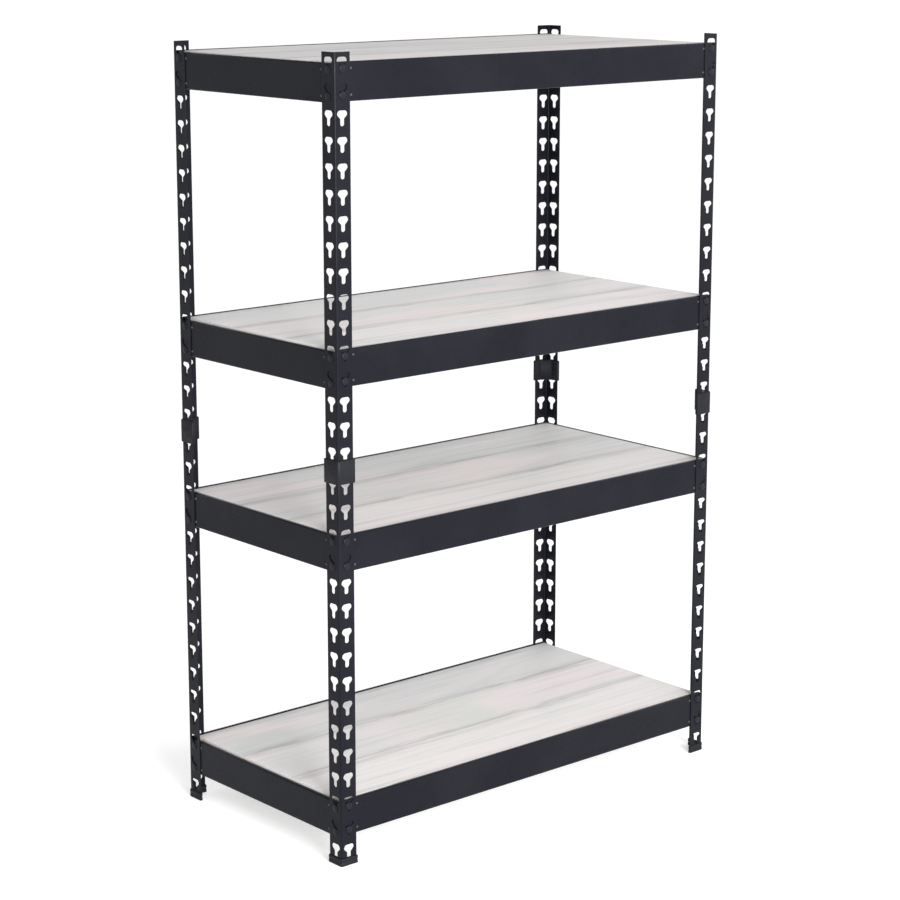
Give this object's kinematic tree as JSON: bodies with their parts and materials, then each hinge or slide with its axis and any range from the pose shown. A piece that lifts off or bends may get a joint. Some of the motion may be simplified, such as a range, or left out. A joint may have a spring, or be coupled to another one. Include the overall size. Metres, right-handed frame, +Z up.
{
  "type": "boltless shelving unit",
  "caption": "Freestanding boltless steel shelving: slotted angle posts in two halves, riveted beams hooked in keyholes, and wood-print boards on each level.",
  "frame": {"origin": "centre of the whole rack's box, on the floor", "axes": "+X along the long side to the right seen from the front, +Y from the front to the rear, +Z up"},
  "size_m": [0.8046, 0.4046, 1.2321],
  "materials": {
    "black_steel": "satin black powder coat with a slight blue cast",
    "black_plastic": "moulded black plastic, low sheen",
    "grey_board": "light grey wood-print laminate on particle board, satin"
  },
  "bodies": {
    "root": {"post_front_left_lower": "black_steel", "post_front_left_upper": "black_steel", "post_front_right_lower": "black_steel", "post_front_right_upper": "black_steel", "post_rear_right_lower": "black_steel", "post_rear_right_upper": "black_steel", "post_rear_left_lower": "black_steel", "post_rear_left_upper": "black_steel", "coupler_front_left": "black_plastic", "coupler_front_right": "black_plastic", "coupler_rear_right": "black_plastic", "coupler_rear_left": "black_plastic", "foot_front_left": "black_plastic", "foot_front_right": "black_plastic", "foot_rear_right": "black_plastic", "foot_rear_left": "black_plastic"},
    "shelf_1": {"shelf_1_front_beam": "black_steel", "shelf_1_rear_beam": "black_steel", "shelf_1_left_beam": "black_steel", "shelf_1_right_beam": "black_steel"},
    "deck_1": {"shelf_1_deck": "grey_board"},
    "shelf_2": {"shelf_2_front_beam": "black_steel", "shelf_2_rear_beam": "black_steel", "shelf_2_left_beam": "black_steel", "shelf_2_right_beam": "black_steel"},
    "deck_2": {"shelf_2_deck": "grey_board"},
    "shelf_3": {"shelf_3_front_beam": "black_steel", "shelf_3_rear_beam": "black_steel", "shelf_3_left_beam": "black_steel", "shelf_3_right_beam": "black_steel"},
    "deck_3": {"shelf_3_deck": "grey_board"},
    "shelf_4": {"shelf_4_front_beam": "black_steel", "shelf_4_rear_beam": "black_steel", "shelf_4_left_beam": "black_steel", "shelf_4_right_beam": "black_steel"},
    "deck_4": {"shelf_4_deck": "grey_board"}
  },
  "joints": [
    {"name": "shelf_1_lift", "type": "slide", "parent": "root", "child": "shelf_1", "axis": [0, 0, 1], "range_m": [0, 0.01]},
    {"name": "deck_1_lift", "type": "slide", "parent": "shelf_1", "child": "deck_1", "axis": [0, 0, 1], "range_m": [0, 0.06]},
    {"name": "shelf_2_lift", "type": "slide", "parent": "root", "child": "shelf_2", "axis": [0, 0, 1], "range_m": [0, 0.0135]},
    {"name": "deck_2_lift", "type": "slide", "parent": "shelf_2", "child": "deck_2", "axis": [0, 0, 1], "range_m": [0, 0.06]},
    {"name": "shelf_3_lift", "type": "slide", "parent": "root", "child": "shelf_3", "axis": [0, 0, 1], "range_m": [0, 0.01]},
    {"name": "deck_3_lift", "type": "slide", "parent": "shelf_3", "child": "deck_3", "axis": [0, 0, 1], "range_m": [0, 0.06]},
    {"name": "shelf_4_lift", "type": "slide", "parent": "root", "child": "shelf_4", "axis": [0, 0, 1], "range_m": [0, 0.012]},
    {"name": "deck_4_lift", "type": "slide", "parent": "shelf_4", "child": "deck_4", "axis": [0, 0, 1], "range_m": [0, 0.06]}
  ]
}
